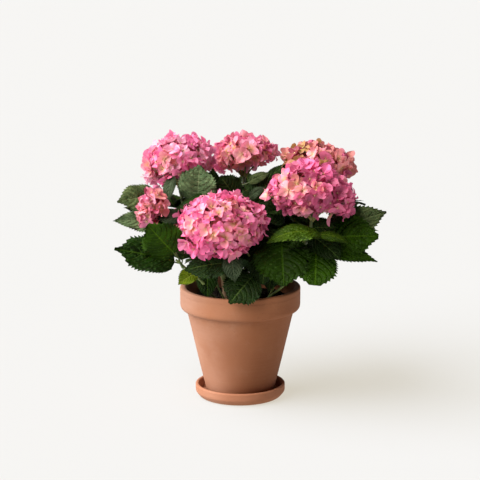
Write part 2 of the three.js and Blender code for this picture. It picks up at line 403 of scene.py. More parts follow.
def headBox(name):  # where a bloom sits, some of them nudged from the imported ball
    low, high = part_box("bloom_" + name)
    nudge = Vector(bloomHeads[name].get("shift", (0, 0, 0)))
    return low + nudge, high + nudge


def caneLine(name):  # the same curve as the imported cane: from the soil, up and over to its bloom
    points = nodePoints("cane_" + name)
    low, high = headBox(name)
    head = np.array((low + high) / 2)
    foot = points[points[:, 2] < points[:, 2].min() + 0.001].mean(0)
    risen = foot + (head - foot) * caneForm["riseLean"]
    risen[2] = foot[2] + caneForm["riseHeight"]
    lean, drop = caneForm["bends"].get(name, (caneForm["turnLean"], caneForm["turnHeight"]))
    turned = foot + (head - foot) * lean
    turned[2] = max(low.z - drop, foot[2] + caneForm["turnLowest"])
    head[2] = low.z + (high.z - low.z) * 0.22
    return spline([foot, risen, turned, head], caneForm["steps"])


def bark():
    g = Graph("caneBark")
    place = g.place()
    grain = g.noise(g.stretched(place, (1, 1, 0.12)), 900, 4)
    spots = g.noise(place, 420, 2).over(0.62, 0.72)
    colour = g.mix(grain.over(0.35, 0.65), *caneForm["wood"])
    colour = g.mix(spots * 0.7, colour, caneForm["spots"])
    return g.finish(colour, 0.8, bump=grain, bumpDepth=0.0007)


stalkTints = {  # in two patches, and where the stalk blushes
    "caneGreen": [(0.04, 0.06, 0.01), (0.09, 0.125, 0.026), (0.11, 0.042, 0.02)],
    "leafStalk": [(0.04, 0.07, 0.01), (0.1, 0.15, 0.025), (0.16, 0.06, 0.04)],
    "freshShoot": [(0.085, 0.13, 0.022), (0.19, 0.25, 0.06), (0.24, 0.09, 0.05)],
    "bloomStalk": [(0.26, 0.22, 0.06), (0.34, 0.34, 0.12), (0.36, 0.14, 0.1)],
}


def stalkSkin(name):
    low, high, blush = stalkTints[name]
    g = Graph(name)
    place = g.place()
    colour = g.mix(g.noise(place, 60, 3).over(0.35, 0.65), low, high)
    colour = g.mix(g.noise(place, 260, 2).over(0.6, 0.7) * 0.5, colour, blush)
    return g.finish(colour, 0.5, bump=g.noise(g.stretched(place, (1, 1, 0.2)), 700, 2), bumpDepth=0.0003)


def makeCanes():
    lines = {}
    wood = Heap()
    green = Heap()
    form = caneForm
    for node in nodesNamed("cane_"):
        name = node[5:]
        line = caneLine(name)
        lines[name] = line
        far = travelled(line)
        share = far / far[-1]
        knot = np.abs((far / form["nodeGap"] + 0.3) % 1 - 0.5) * 2
        radius = form["foot"] + (form["neck"] - form["foot"]) * share
        radius = radius + form["flare"] * np.exp(-share / 0.08)
        radius = radius + form["swelling"] * np.exp(-((1 - knot) / 0.16) ** 2)
        points, quads = tubes(line[None], radius[None], form["sides"])
        rough = 1 + 0.1 * lumpiness(points[..., 2] * 0.6, np.arange(form["sides"]) * 0.02)
        points = line[None, :, None] + (points - line[None, :, None]) * rough[..., None]
        cut = int(form["greenFrom"] * form["steps"])
        rows = quads.reshape(form["steps"] - 1, form["sides"], 4)
        wood.add(points, rows[:cut].reshape(-1, 4))
        green.add(points, rows[cut:].reshape(-1, 4))
    settle(wood.build("caneWood", [bark()]), nodesNamed("cane_"))
    settle(green.build("caneGreen", [stalkSkin("caneGreen")]))
    print("canes made")
    return lines


leafForm = {
    "teeth": 18, "toothDepth": 0.06, "toothLean": 0.74, "columns": 13, "veins": 7.0, "veinLean": 0.24,
    "veinCurve": 0.2, "quilt": 0.03, "petiole": 0.024, "thickness": 0.0005,
    "shine": 0.46, "underShine": 0.55,
}
leafKinds = {  # upper face in its hollows (painted shade), on its crests (partly painted light), its veins; then the under face
    "deep": [(0.004, 0.01, 0.0005), (0.013, 0.048, 0.001), (0.062, 0.128, 0.01), (0.035, 0.08, 0.015)],
    "dark": [(0.006, 0.012, 0.002), (0.018, 0.046, 0.006), (0.075, 0.125, 0.026), (0.03, 0.06, 0.02)],
    # a grey-green that stands in for the sheen on glossy leaves: painted sheen
    "grey": [(0.042, 0.075, 0.03), (0.15, 0.215, 0.095), (0.175, 0.235, 0.11), (0.1, 0.15, 0.07)],
    "slate": [(0.016, 0.028, 0.012), (0.085, 0.12, 0.062), (0.115, 0.155, 0.082), (0.06, 0.1, 0.04)],
    "olive": [(0.013, 0.025, 0.005), (0.13, 0.165, 0.06), (0.15, 0.19, 0.075), (0.07, 0.12, 0.04)],
    "mid": [(0.01, 0.028, 0.0005), (0.035, 0.094, 0.001), (0.062, 0.135, 0.004), (0.05, 0.11, 0.012)],
    "calm": [(0.01, 0.025, 0.0005), (0.018, 0.05, 0.001), (0.034, 0.08, 0.003), (0.04, 0.09, 0.012)],
    "fresh": [(0.013, 0.034, 0.0005), (0.044, 0.088, 0.001), (0.105, 0.17, 0.01), (0.09, 0.16, 0.02)],
    "yellow": [(0.08, 0.13, 0.004), (0.2, 0.26, 0.01), (0.28, 0.33, 0.05), (0.15, 0.2, 0.03)],
}
leafTints = list(leafKinds)


def leafSkin(name, hollow, crest, vein, shine, glow):
    g = Graph(name)
    sheet = g.sheet()
    form = leafForm
    even = g.stretched(sheet, (len(leafTints) * 1.0, 3.2, 1))
    across = g.across(sheet, len(leafTints))
    along = ((g.axis(sheet, 1) * 2).part() - 0.02) * 1.042
    bow = across * form["veinLean"] + across * across * form["veinCurve"]
    nearVein = abs(((along - bow) * form["veins"]).part() - 0.5) * 2
    rib = 1 - across.over(0.012, 0.055)
    laterals = nearVein.over(0.86, 0.97) * (1 - across * 0.5)
    puff = g.cells(even, 11).over(0.02, 0.3)
    blotch = g.noise(even, 2.4, 3).over(0.3, 0.7)
    # the hollows of the net of puffs take the dark colour and the crests the light one: painted shade and
    # light, with random blotches of the two
    colour = g.mix(puff * 0.3 + blotch * 0.7, hollow, crest)
    veins = rib.most(laterals * 0.8)
    # darker in the strips beside the veins: painted shade
    colour = g.mix(nearVein.over(0.45, 0.85) * (1 - veins) * 0.5, colour, hollow)
    colour = g.mix(veins * 0.85, colour, vein)
    relief = puff * 0.5 + (1 - nearVein.over(0.3, 1.0)) * 0.8 - veins * 0.6
    return g.finish(colour, shine + blotch * 0.1, bump=relief, bumpDepth=0.0013, through=0.1, glow=glow,
                    Specular_IOR_Level=0.08)


def leafSheet(shape):  # a leaf of length 1: its points as (across, along, up) and its texture places
    form = leafForm
    teeth = int(form["teeth"] * shape["detail"])
    valleys = np.arange(teeth + 1) / teeth
    tips = (np.arange(teeth) + form["toothLean"]) / teeth
    along = np.sort(np.concatenate([valleys, tips]))[:, None]
    rise, taper = shape["rise"], shape["taper"]
    widest = rise / (rise + taper)
    swell = along ** rise * (1 - along) ** taper / (widest ** rise * (1 - widest) ** taper)
    width = np.maximum(swell * (1 - shape["drip"] * np.clip((along - 0.78) / 0.14, 0, 1)), 0.01)
    bite = np.where(np.arange(len(along)) % 2 == 1, 1.0, -1.0)[:, None] * form["toothDepth"]
    bite = bite * np.clip(along / 0.15, 0, 1) * rng.uniform(0.6, 1.4, along.shape)
    side = np.linspace(-1, 1, 2 * int(form["columns"] // 2 * shape["detail"]) + 1)
    out = np.abs(side)
    half = shape["width"] / 2
    x = half * width * np.sign(side) * out ** 0.92 * (1 + bite * out ** 7)
    ahead = 0.014 * out ** 7 * np.sign(bite)
    bow = form["veinLean"] * out + form["veinCurve"] * side ** 2
    puff = np.abs(np.sin(np.pi * form["veins"] * (along - bow))) ** 0.8
    puff = puff * (1 - out ** 3) * np.minimum(1, out * 5)
    wave = np.sin(2 * np.pi * (shape["waves"] * along + shape["phase"] + 0.25 * np.sign(side)))
    z = form["quilt"] * shape["quilt"] * puff * width + shape["fold"] * np.sqrt(x ** 2 + 0.0004)
    z = z - shape["droop"] * x ** 2 / half + shape["wave"] * half * wave * out ** 2.5
    turn = shape["twist"] * (along - 0.25)
    x, z = x * np.cos(turn) - z * np.sin(turn), x * np.sin(turn) + z * np.cos(turn)
    x = x + shape["sweep"] * (along - 0.5) ** 2
    bend = shape["arch"] * (0.55 - along)
    step = np.diff(along, axis=0, prepend=0)
    y = np.cumsum(np.cos(bend) * step, axis=0) + ahead * np.cos(bend) - z * np.sin(bend)
    up = np.cumsum(np.sin(bend) * step, axis=0) + ahead * np.sin(bend) + z * np.cos(bend)
    uv = np.stack(np.broadcast_arrays(0.5 + side * 0.48, along), -1)
    return np.stack([x, y, up], -1), uv


leafShape = {  # of a leaf that isn't told otherwise
    "width": 0.62, "fold": 0.16, "droop": 0.1, "quilt": 1.0, "wave": 0.05, "waves": 2.2, "twist": 0.0,
    "arch": 0.5, "sweep": 0.0, "detail": 1.0, "rise": 0.6, "taper": 0.92, "drip": 0.35,
}
view = {"from": (-0.0005, -3.4, 1.04), "to": (-0.0005, 0, 0.291), "lens": 143.9}  # the camera
openings = [  # kept clear through the crown as the camera sees it: middle, half the width, half the height
    ((0.149, -0.06, 0.35), 0.0066, 0.0029),
    ((-0.112, -0.02, 0.397), 0.0045, 0.008),
]


def crossing(sheets):  # which sheets of points would cover one of the openings
    covers = np.zeros(len(sheets), bool)
    for at, wide, tall in openings:
        sight = unit(np.subtract(at, view["from"]))
        off = sheets - at
        off = off - (off @ sight)[..., None] * sight
        covers |= ((off[..., 0] / wide) ** 2 + (off[..., 2] / tall) ** 2 < 1).any(axis=(1, 2))
    return covers


def addLeaf(heap, base, along, face, length, kind, byHand=False, **changes):
    shape = {**leafShape, "phase": rng.random(), **changes}
    along = unit(along)
    across = unit(np.cross(along, face))
    face = np.cross(across, along)
    points, uv = leafSheet(shape)
    axes = np.stack([across, along, face])
    chord = points[-1].mean(0) - points[0].mean(0)
    pitch = math.atan2(chord[2], chord[1])  # the bent leaf still points where it was told
    cos, sin = math.cos(pitch), math.sin(pitch)
    turn = np.array([[1, 0, 0], [0, cos, -sin], [0, sin, cos]])
    points = (points - points[0].mean(0)) @ turn / norm(chord)
    top = base + points * length @ axes
    if not byHand and crossing(top[None])[0]:
        return
    rows, columns = uv.shape[:2]
    inset = np.sin(np.linspace(0, np.pi, rows))[:, None] * (1 - np.linspace(-1, 1, columns) ** 6)
    under = top - face * (leafForm["thickness"] * np.maximum(inset, 0) + 0.00002)[..., None]
    quads = gridQuads(rows, columns)
    tile = leafTints.index(kind)
    # upper faces in the upper row of tiles, under faces below, each a little in from its tile's border
    place = np.stack([(tile + uv[..., 0]) / len(leafTints), (0.02 + 0.96 * uv[..., 1]) / 2], -1)
    heap.add(top, quads, tile * 2, place + [0, 0.5])
    heap.add(under, quads[:, ::-1], tile * 2 + 1, place)


def leafMaterials():
    form = leafForm
    materials = []
    for name, (hollow, crest, vein, under) in leafKinds.items():
        glow = (*shaded(crest[:2], 2.8), *shaded(crest[2:], 1.6))
        materials.append(leafSkin(name + "Leaf", hollow, crest, vein, form["shine"], glow))
        # the dull copy of the under colour is painted shade in the under face's hollows
        dull, bright = shaded(under, 0.6), shaded(under, 1.5)
        materials.append(leafSkin(name + "LeafUnder", dull, under, bright, form["underShine"], glow))
    return materials


heart = np.array([0.0, 0.0, 0.3])  # the leaves point away from here


def padFrame(node):  # base, direction, face, length and width of the leaf that a packed mass stands for
    points = nodePoints(node)
    middle = points.mean(0)
    axes = np.linalg.eigh(np.cov((points - middle).T))[1]
    along = axes[:, 2]
    face = axes[:, 0]
    if (middle - heart) @ along < 0:
        along = -along
    outward = (middle - heart) * [1, 1, 0]
    if face @ (unit(outward) * 0.4 + [0, 0, 1]) < 0:
        face = -face
    aside = np.cross(along, face)
    reach = (points - middle) @ along
    sideways = (points - middle) @ aside
    centre = middle + aside * (sideways.max() + sideways.min()) / 2
    return centre + along * reach.min(), along, face, np.ptp(reach), np.ptp(sideways)


def turnedAbout(vector, axis, angle):
    axis = unit(axis)
    return (vector * math.cos(angle) + np.cross(axis, vector) * math.sin(angle)
            + axis * (axis @ vector) * (1 - math.cos(angle)))


def leaf(kind, start, tip, face, width, **shape):  # one listed leaf, its base and tip in millimetres
    return kind, np.array(start) / 1000, np.array(tip) / 1000, face, {"width": width, **shape}


sprays = {  # in each mass: how many leaves fill it by rule, and the listed ones or the kind of its one
    "left_high": (1, [
        leaf("olive", (-146, -20, 374), (-219, -50, 371), (-0.25, -0.75, 0.6), 0.74, quilt=2.0, wave=0.07,
             taper=0.75),
        leaf("dark", (-176, -12, 342), (-210, -30, 357), (0, -0.5, 0.85), 0.4)]),
    "left_mid": (1, [
        leaf("grey", (-148, -50, 334), (-226, -70, 341), (-0.1, -0.7, 0.7), 0.58, quilt=0.3, arch=0.3,
             taper=1.1)]),
    "left_low": (1, [
        leaf("deep", (-116, -84, 270), (-220, -126, 303), (-0.1, -0.85, 0.5), 0.53, quilt=1.6, arch=0.35,
             wave=0.08, rise=0.46, taper=0.48, drip=0.72)]),
    "left_front": (1, [
        leaf("mid", (-116, -94, 287), (-162, -120, 345), (-0.35, -0.8, 0.45), 0.98, quilt=0.6, arch=0.5,
             rise=0.4, taper=0.6)]),
    "left_back": (3, [
        leaf("slate", (-105, -62, 348), (-152, -72, 346), (-0.1, -0.7, 0.6), 0.66, quilt=2.0),
        leaf("slate", (-122, 0, 410), (-130, -30, 364), (-0.5, -0.8, 0.2), 0.48)]),
    "rim_left": (0, [
        leaf("yellow", (-79, -85, 249), (-110, -100, 232), (-0.1, -0.8, 0.5), 0.8, fold=0.6, arch=0.9)]),
    "pot_left": (0, [
        leaf("deep", (-58, -50, 254), (-58, -86, 202), (-0.2, -0.8, 0.5), 0.62)]),
    "rim_front": (0, [
        leaf("dark", (24, -82, 244), (-19, -126, 204), (0.1, -0.75, 0.6), 0.92, quilt=1.3, arch=0.6,
             wave=0.05, rise=0.55, taper=0.62, drip=0.5)]),
    "front_right": (1, [
        leaf("calm", (73, -60, 306), (76, -120, 234), (0, -0.75, 0.6), 1.05, quilt=0.9, rise=0.5,
             taper=0.6),
        leaf("dark", (48, -50, 296), (40, -100, 232), (-0.2, -0.75, 0.6), 0.8, taper=0.7)]),
    "right_front": (1, [
        leaf("fresh", (142, -90, 321), (47, -118, 311), (0, -0.3, 0.95), 0.56, arch=1.1, fold=0.05),
        leaf("fresh", (136, -88, 320), (191, -100, 306), (0.1, -0.35, 0.95), 0.55, arch=0.9, fold=0.05)]),
    "right_rim": (0, [
        leaf("mid", (135, -60, 300), (131, -114, 234), (0.1, -0.8, 0.5), 0.9, arch=0.4, rise=0.6,
             taper=0.42, drip=0.2)]),
    "right_mid": (1, [
        leaf("mid", (147, -30, 298), (247, -50, 308), (-0.1, -0.75, 0.65), 0.8, quilt=1.3, wave=0.06,
             taper=0.66),
        leaf("dark", (127, -60, 312), (178, -95, 274), (0.2, -0.7, 0.6), 0.75)]),
    "right_low": (1, [
        leaf("mid", (135, -52, 284), (244, -72, 267), (0.1, -0.75, 0.6), 0.33, quilt=1.2, sweep=0.12),
        leaf("dark", (124, -44, 322), (172, -58, 327), (0.1, -0.85, 0.4), 0.72)]),
    "right_high": (1, [
        leaf("olive", (160, 2, 298), (265, 8, 341), (-0.25, -0.75, 0.6), 0.62, quilt=1.8, wave=0.06)]),
    "right_back": (3, "mid"),
    "upper_left": (0, [
        leaf("grey", (-77, -15, 362), (-72, -28, 434), (-0.25, -0.9, 0.35), 0.99, quilt=1.8, arch=0.3,
             fold=0.25, rise=0.45, taper=0.52, drip=0.5)]),
    "upper_mid": (1, [
        leaf("dark", (-8, 0, 368), (-36, -12, 411), (0, -0.8, 0.4), 0.92, quilt=0.4, rise=0.45, taper=0.55),
        leaf("dark", (-54, 24, 370), (-49, 14, 422), (0.1, -0.9, 0.3), 0.6),
        leaf("dark", (80, -10, 340), (28, -52, 352), (0, -0.8, 0.5), 0.72),
        leaf("dark", (28, 8, 346), (58, 30, 416), (0.1, -0.9, 0.3), 0.62),
        leaf("olive", (14, 16, 394), (54, 14, 412), (-0.1, -0.8, 0.6), 0.46, quilt=1.6),
        leaf("slate", (16, -6, 370), (44, -14, 392), (-0.2, -0.8, 0.5), 0.5, quilt=1.6),
        leaf("dark", (40, 70, 382), (96, 84, 418), (0.1, -0.3, 0.9), 0.4)]),
    "core_left": (5, [
        leaf("dark", (62, -48, 268), (50, -76, 212), (-0.1, -0.9, 0.3), 0.62),
        leaf("dark", (-14, -96, 272), (-98, -114, 262), (-0.1, -0.8, 0.5), 0.58, quilt=1.8, taper=0.7),
        leaf("slate", (-16, -102, 288), (-9, -124, 242), (-0.2, -0.8, 0.5), 0.7)]),
    "core_right": (6, "dark"),
    "centre_right": (5, "deep"),
    "rear_left_high": (5, "mid"),
    "rear_left_low": (5, "deep"),
    "rear_low": (5, "mid"),
    "rear_mid": (5, "mid"),
    "rear_right_high": (5, "dark"),
    "rear_right_low": (5, "mid"),
}


shootForm = {"sides": 12, "steps": 60, "thin": 0.72, "knot": 0.45, "knotLength": 0.005}
shoots = [  # the stems that show above the rim: how thick, then the points each passes, in millimetres
    (2.4, (34, -22, 180), (50, -54, 197), (84, -68, 229), (112, -66, 262), (135, -60, 299)),
    (2.2, (46, -24, 180), (60, -52, 216), (70, -62, 250), (73, -60, 304)),
    (2.5, (-34, -26, 180), (-52, -56, 204), (-65, -72, 227), (-90, -82, 252), (-114, -90, 275)),
    (1.9, (-20, -34, 180), (-29, -64, 198), (-42, -64, 226), (-44, -60, 268), (-36, -70, 300)),
    (2.4, (8, -30, 180), (16, -58, 208), (23, -70, 240), (18, -66, 272), (0, -64, 300)),
]
twigForm = {  # how far each kind of twig sags, and how thick it is at its two ends
    "branch": (0.01, 0.0024, 0.0017), "petiole": (0.002, 0.0016, 0.0011), "spray": (0.001, 0.0014, 0.0011),
    "pair": (0.001, 0.0017, 0.0012), "tier": (0.004, 0.0018, 0.0012),
}
growth = {  # leaves that grow by rule: from and to for what differs, how much they twist, and what is fixed
    "spray": {"width": (0.58, 0.72), "arch": (0.2, 0.8), "fold": (0.05, 0.3), "twist": 0.2, "detail": 0.7},
    "pair": {"width": (0.6, 0.74), "arch": (0.3, 0.9), "fold": (0.05, 0.25), "twist": 0.2, "detail": 0.7},
    "tier": {"width": (0.7, 0.86), "arch": (0.3, 0.8), "fold": (0.05, 0.25), "twist": 0.15, "detail": 0.8,
             "taper": 0.75},
}
caneLeaves = {  # pairs of leaves up each cane: where the first pair sits, how many, how long the leaves are
    "front": (0.3, 3, 0.08), "upper_left": (0.28, 4, 0.088), "upper_back": (0.24, 3, 0.086),
    "upper_right": (0.26, 4, 0.092), "right": (0.26, 4, 0.096), "small_left": (0.28, 3, 0.078),
    "rear_left": (0.24, 6, 0.098), "rear_right": (0.24, 6, 0.098),
}
fillerForm = {"forks": (0.35, 1.0), "lean": (-0.35, 0.25), "lengths": (0.55, 0.85)}
pairForm = {
    "last": 0.86, "rimTop": 0.262, "crownRadius": 0.165, "lean": (-0.05, 0.45), "lengths": (0.8, 1.1),
    "standing": (0.8, 1.3),
}
# leaves that hang outward round the sides and rear: their angles, how many, how far from the middle and
# how high the base and the tip are, and how much farther the tips reach at the rear
tiers = [
    {"from": -40, "to": 220, "count": 14, "base": (0.044, 0.268), "tip": (0.088, 0.222), "rear": 0.036},
    {"from": 12, "to": 168, "count": 8, "base": (0.068, 0.322), "tip": (0.122, 0.27), "rear": 0.028},
    {"from": 24, "to": 156, "count": 6, "base": (0.076, 0.372), "tip": (0.112, 0.325), "rear": 0.046},
]
fillers = ["dark", "deep", "dark", "mid", "deep"]
showing = ["mid", "deep", "deep", "dark", "fresh", "mid"]


def curved(start, bend, end, steps):
    t = np.linspace(0, 1, steps)[:, None]
    return start * (1 - t) ** 2 + 2 * bend * t * (1 - t) + end * t * t


def grown(manner):  # the shape of one leaf that grows by rule
    shape = dict(growth[manner])
    drawn = {name: rng.uniform(*shape.pop(name)) for name in ("width", "arch", "fold")}
    return {**drawn, "twist": rng.normal(0, shape.pop("twist")), **shape}


def below(ceiling, lean, start, length):  # a lean flat enough for the leaf to stay under the ceiling
    lean[2] = min(lean[2], (ceiling - start[2]) / (length + leafForm["petiole"]))
    return unit(lean)


class Foliage:  # the leaves of each side, the stems they grow from and the twigs between
    def __init__(self, canes):
        self.heaps = {name: Heap() for name in ("leavesLeft", "leavesRight", "leavesRear")}
        self.nodes = {name: [] for name in self.heaps}
        self.stems = dict(canes)
        self.shoots = Heap()
        self.twigs = []
        self.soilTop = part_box("potting_soil")[1].z

    def side(self, point, rearFrom=0.05):
        return "leavesRear" if point[1] > rearFrom else "leavesLeft" if point[0] < 0 else "leavesRight"

    def twig(self, kind, start, end):
        sag, thick, thin = twigForm[kind]
        path = curved(start, (start + end) / 2 - [0, 0, sag], end, 9)
        self.twigs.append((path, np.linspace(thick, thin, len(path))))

    def nearest(self, base, above):  # where on a stem the twig to this leaf can leave it
        points = np.concatenate([line[6:-8] for line in self.stems.values()])
        points = points[points[:, 2] >= self.soilTop + above]
        cost = norm(base - points, axis=1) + 0.6 * np.maximum(0, 0.015 - (base[2] - points[:, 2]))
        return points[cost.argmin()]

    def addShoots(self):  # each swells at its third point, where an old leaf stood
        form = shootForm
        for i, (thick, *through) in enumerate(shoots):
            points = np.array(through) / 1000
            line = spline(points, form["steps"])
            self.stems[i] = line
            near = norm(line - points[2], axis=1) / form["knotLength"]
            swell = np.linspace(1.0, form["thin"], form["steps"]) + form["knot"] * np.exp(-near ** 2)
            radius = thick / 1000 * swell
            self.shoots.add(*tubes(line[None], radius[None], form["sides"]), 1)

    def addSprays(self):  # the leaves of each mass, on twigs from the nearest stem
        for node in nodesNamed("leaves_"):
            more, placed = sprays[node[7:]]
            base, along, face, length, width = padFrame(node)
            side = self.side(base, 0.03)
            heap = self.heaps[side]
            self.nodes[side].append(node)
            if isinstance(placed, str):
                shape = {"width": min(0.75, width / length)}
                placed = [(placed, base, base + along * length, face, shape)]
            forks = []
            for kind, start, tip, face, shape in placed:
                reach = norm(tip - start)
                along = (tip - start) / reach
                stem = self.nearest(start, 0.012)
                fork = start - along * leafForm["petiole"] * 0.5
                self.twig("branch", stem, fork)
                self.twig("petiole", fork, start + along * 0.004)
                addLeaf(heap, start, along, face, reach, kind, True, **shape)
                forks.append((stem, fork, along))
            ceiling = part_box(node)[1].z + 0.004
            for k in range(more):
                self.addFiller(heap, k, length, ceiling, *forks[0])

    def addFiller(self, heap, k, length, ceiling, stem, fork, along):  # turned about the first leaf's twig
        spin = (k + 1) * math.pi * (0.5 if k % 2 else 1.0) + rng.normal(0, 0.3)
        branchAxis = unit(fork - stem + [0, 0, 1e-3])
        start = stem + (fork - stem) * rng.uniform(*fillerForm["forks"])
        lean = turnedAbout(unit(along + [0, 0, 0.3]), branchAxis, spin)
        lean = unit(lean + [0, 0, rng.uniform(*fillerForm["lean"])])
        if start[1] < 0.02:  # in front they only fill in behind
            lean = unit([lean[0], abs(lean[1]) + 0.2, abs(lean[2])])
        size = length * rng.uniform(*fillerForm["lengths"])
        lean = below(ceiling, lean, start, size)
        foot = start + lean * leafForm["petiole"]
        self.twig("spray", start, foot)
        up = unit([0, 0, 1] + rng.normal(0, 0.25, 3))
        kind = str(rng.choice(fillers))
        addLeaf(heap, foot, lean, up, size, kind, **grown("spray"))

    def addPairs(self, cane, line):  # each pair crosses the one below it
        first, pairs, size = caneLeaves[cane]
        form = pairForm
        ceiling = headBox(cane)[0].z + 0.006
        rise = unit(line[-1] - line[0])
        level = rng.uniform(0, np.pi)
        for k in range(pairs):
            at = line[int((first + (form["last"] - first) * k / pairs) * (len(line) - 1))]
            level += np.pi / 2 + rng.normal(0, 0.15)
            for side in (0, np.pi):
                lean = unit(polar(1.0, level + side, rng.uniform(*form["lean"])) + rise * 0.15)
                length = size * rng.uniform(*form["lengths"]) * (1 - 0.1 * k)
                if at[2] < form["rimTop"]:  # low leaves stand up inside the pot's rim
                    lean[2] = rng.uniform(*form["standing"])
                    length = length * 0.7
                lean = below(ceiling, lean, at, length)
                foot = at + lean * leafForm["petiole"]
                tip = foot + lean * length
                past = norm(tip[:2]) - form["crownRadius"]
                if past > 0:
                    length = length * max(0.5, 1 - past / length)
                self.twig("pair", at, foot)
                shape = grown("pair")
                up = [0, 0, 1] + rng.normal(0, 0.2, 3) + lean * 0.2
                heap = self.heaps[self.side(tip)]
                addLeaf(heap, foot, lean, up, length, str(rng.choice(fillers)), **shape)

    def addTier(self, tier):
        for k in range(tier["count"]):
            turn = tier["from"] + (tier["to"] - tier["from"]) * (k + rng.uniform(0.3, 0.7)) / tier["count"]
            out = polar(1.0, math.radians(turn), 0.0)
            (near, high), (reach, low) = tier["base"], tier["tip"]
            reach = reach + tier["rear"] * max(0.0, out[1])
            foot = out * near + [0, 0, high] + rng.normal(0, 0.006, 3)
            tip = out * reach + [0, 0, low] + rng.normal(0, 0.006, 3)
            self.twig("tier", self.nearest(foot, 0.03), foot)
            shape = grown("tier")
            up = out * 0.7 + [0, 0, 0.6] + rng.normal(0, 0.12, 3)
            heap = self.heaps[self.side(tip)]
            addLeaf(heap, foot, tip - foot, up, norm(tip - foot), str(rng.choice(showing)), **shape)


def makeLeaves(canes):
    foliage = Foliage(canes)
    foliage.addShoots()
    foliage.addSprays()
    for cane, line in canes.items():
        foliage.addPairs(cane, line)
    for tier in tiers:
        foliage.addTier(tier)
    materials = leafMaterials()
    for name, heap in foliage.heaps.items():
        settle(heap.build(name, materials), foliage.nodes[name])
    paths, radii = zip(*foliage.twigs)
    foliage.shoots.add(*tubes(np.array(paths), np.array(radii), 7))
    skins = [stalkSkin("leafStalk"), stalkSkin("freshShoot")]
    settle(foliage.shoots.build("leafStalks", skins), nodesNamed("shoot_"))
    print("leaves made")


tints = {  # heart, body and margin of a sepal, and how far the heart's colour reaches along it
    "hot": [(0.74, 0.38, 0.28), (0.85, 0.185, 0.4), (0.8, 0.115, 0.33), 0.3],
    "pink": [(0.76, 0.46, 0.34), (0.87, 0.26, 0.45), (0.84, 0.18, 0.4), 0.34],
    "rose": [(0.7, 0.32, 0.24), (0.8, 0.19, 0.35), (0.72, 0.12, 0.28), 0.36],
    "pale": [(0.8, 0.56, 0.44), (0.9, 0.41, 0.56), (0.88, 0.3, 0.49), 0.34],
    "gold": [(0.58, 0.35, 0.12), (0.86, 0.29, 0.4), (0.84, 0.2, 0.38), 0.78],
    "blush": [(0.76, 0.52, 0.3), (0.89, 0.37, 0.42), (0.87, 0.24, 0.4), 0.6],
    "salmon": [(0.68, 0.42, 0.17), (0.8, 0.29, 0.29), (0.8, 0.22, 0.31), 0.6],
    "peach": [(0.74, 0.52, 0.24), (0.84, 0.41, 0.35), (0.84, 0.29, 0.36), 0.55],
    "cream": [(0.66, 0.58, 0.26), (0.82, 0.56, 0.38), (0.86, 0.42, 0.44), 0.6],
    "dusty": [(0.5, 0.29, 0.1), (0.62, 0.21, 0.19), (0.6, 0.15, 0.2), 0.55],
    # a dark tint for painted shade, put on the lower right of the blooms and in their gaps
    "wine": [(0.5, 0.18, 0.13), (0.54, 0.092, 0.205), (0.48, 0.062, 0.17), 0.36],
    "olive": [(0.38, 0.27, 0.06), (0.48, 0.26, 0.09), (0.56, 0.2, 0.15), 0.7],
    # a dark tint for painted shade in the gaps and under the blooms
    "maroon": [(0.26, 0.12, 0.04), (0.38, 0.065, 0.11), (0.34, 0.04, 0.1), 0.4],
}
tintNames = list(tints)


def sepalSkin(name, heartColour, body, margin, reach):
    g = Graph(name)
    sheet = g.sheet()
    across = g.across(sheet, len(tintNames))
    along = (g.axis(sheet, 1) * 3).part()
    streaks = g.noise(g.stretched(sheet, (len(tintNames) * 9.0, 3.6, 1)), 1.0, 2)
    mottle = g.noise(g.stretched(sheet, (len(tintNames) * 1.0, 3.0, 1)), 3.0, 3)
    colour = g.mix((across ** 2 * 0.5 + along ** 3 * 0.5).over(0.15, 0.9), body, margin)
    colour = g.mix(streaks.over(0.4, 0.62) * 0.22, colour, shaded(body, 1.25, 0.05))
    colour = g.mix(mottle.over(0.5, 0.7) * 0.25, colour, margin)
    colour = g.mix(1 - (along + across * 0.15 + mottle * 0.3 - 0.15).over(0.04, reach), colour, heartColour)
    # a paler rim along each sepal's edges: painted highlight
    rim = across.over(0.8, 0.98).most(along.over(0.86, 0.98))
    colour = g.mix(rim * 0.35, colour, shaded(body, 0.9, 0.12))
    return g.finish(colour, 0.55, bump=streaks, bumpDepth=0.0003, through=0.3, glow=shaded(body, 1.1))


sepalForm = {
    "rows": 8, "columns": 7, "halfWidth": 0.58, "rise": 0.84, "tilt": 0.24,
    "bud": 0.0014, "budSizes": (0.7, 1.2), "budLift": 0.0012,
    "opening": (-0.26, 0.22),  # this differs from floret to floret, and the rest from sepal to sepal
    "length": (0.86, 1.1), "width": (0.85, 1.12), "point": (0.55, 1.1), "lift": (-0.22, 0.25),
    "cup": (-0.35, 0.35), "edge": (-0.35, 0.4), "crease": (-0.4, 0.9), "curl": (-0.7, 1.7),
    "twist": (-1.0, 1.0), "ruffle": (-0.24, 0.24), "phase": (0, 6),
}
bloomForm = {
    "size": 0.0172, "sizes": (0.78, 1.14), "crowd": 2.1, "lowest": -0.9, "outer": (0.88, 0.985),
    "inset": 0.004, "facing": 0.22,
    # the florets that show between the outer ones, most of them in dark tints: painted shade in the gaps
    "innerLowest": -0.7, "inner": (0.68, 0.82),
    "shaded": 0.75, "shades": ["dusty", "maroon", "maroon", "wine"],
    # the stalks that fork under them
    "rays": 13, "neck": 1.08, "fork": 0.62, "ray": (0.0015, 0.001), "raylet": (0.0008, 0.0006),
}
